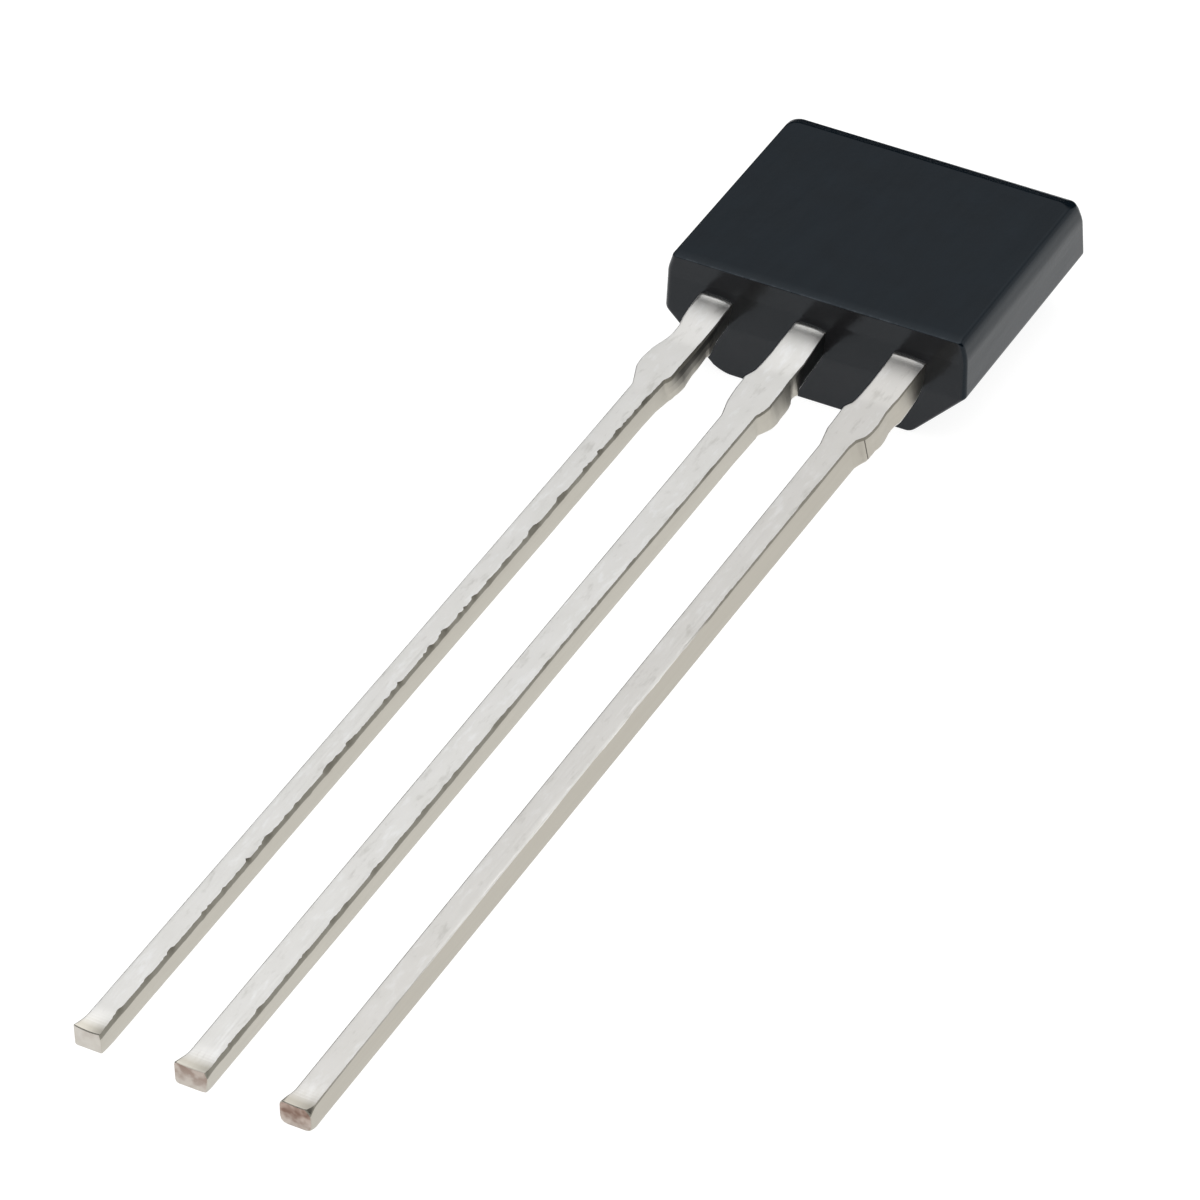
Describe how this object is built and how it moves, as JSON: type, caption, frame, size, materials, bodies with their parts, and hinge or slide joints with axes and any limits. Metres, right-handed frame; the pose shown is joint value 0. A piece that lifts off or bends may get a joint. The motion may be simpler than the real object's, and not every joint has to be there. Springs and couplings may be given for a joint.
{
  "type": "hall effect sensor",
  "caption": "Flat moulded magnetic field sensor with straight tin-plated leads in a row on one end. Inside, bond wires join a chip on a paddle to the leads.",
  "frame": {"origin": "the centre of the body's narrow front face, which the part lies on", "axes": "+Z from the narrow front face to the wide back face, -Y along the leads from the body to their tips, +X towards the supply lead"},
  "size_m": [0.004, 0.0174, 0.0015],
  "materials": {
    "moulding_compound": "satin, as moulded",
    "tin_plated_copper": "matte tin plate",
    "silver_filled_adhesive": "matte",
    "silicon": "polished",
    "gold_wire": "bright drawn"
  },
  "bodies": {
    "root": {"moulded_body": "moulding_compound", "supply_lead": "tin_plated_copper", "ground_lead": "tin_plated_copper", "output_lead": "tin_plated_copper", "chip_adhesive": "silver_filled_adhesive", "hall_chip": "silicon", "supply_wire": "gold_wire", "ground_wire": "gold_wire", "output_wire": "gold_wire"}
  },
  "joints": []
}
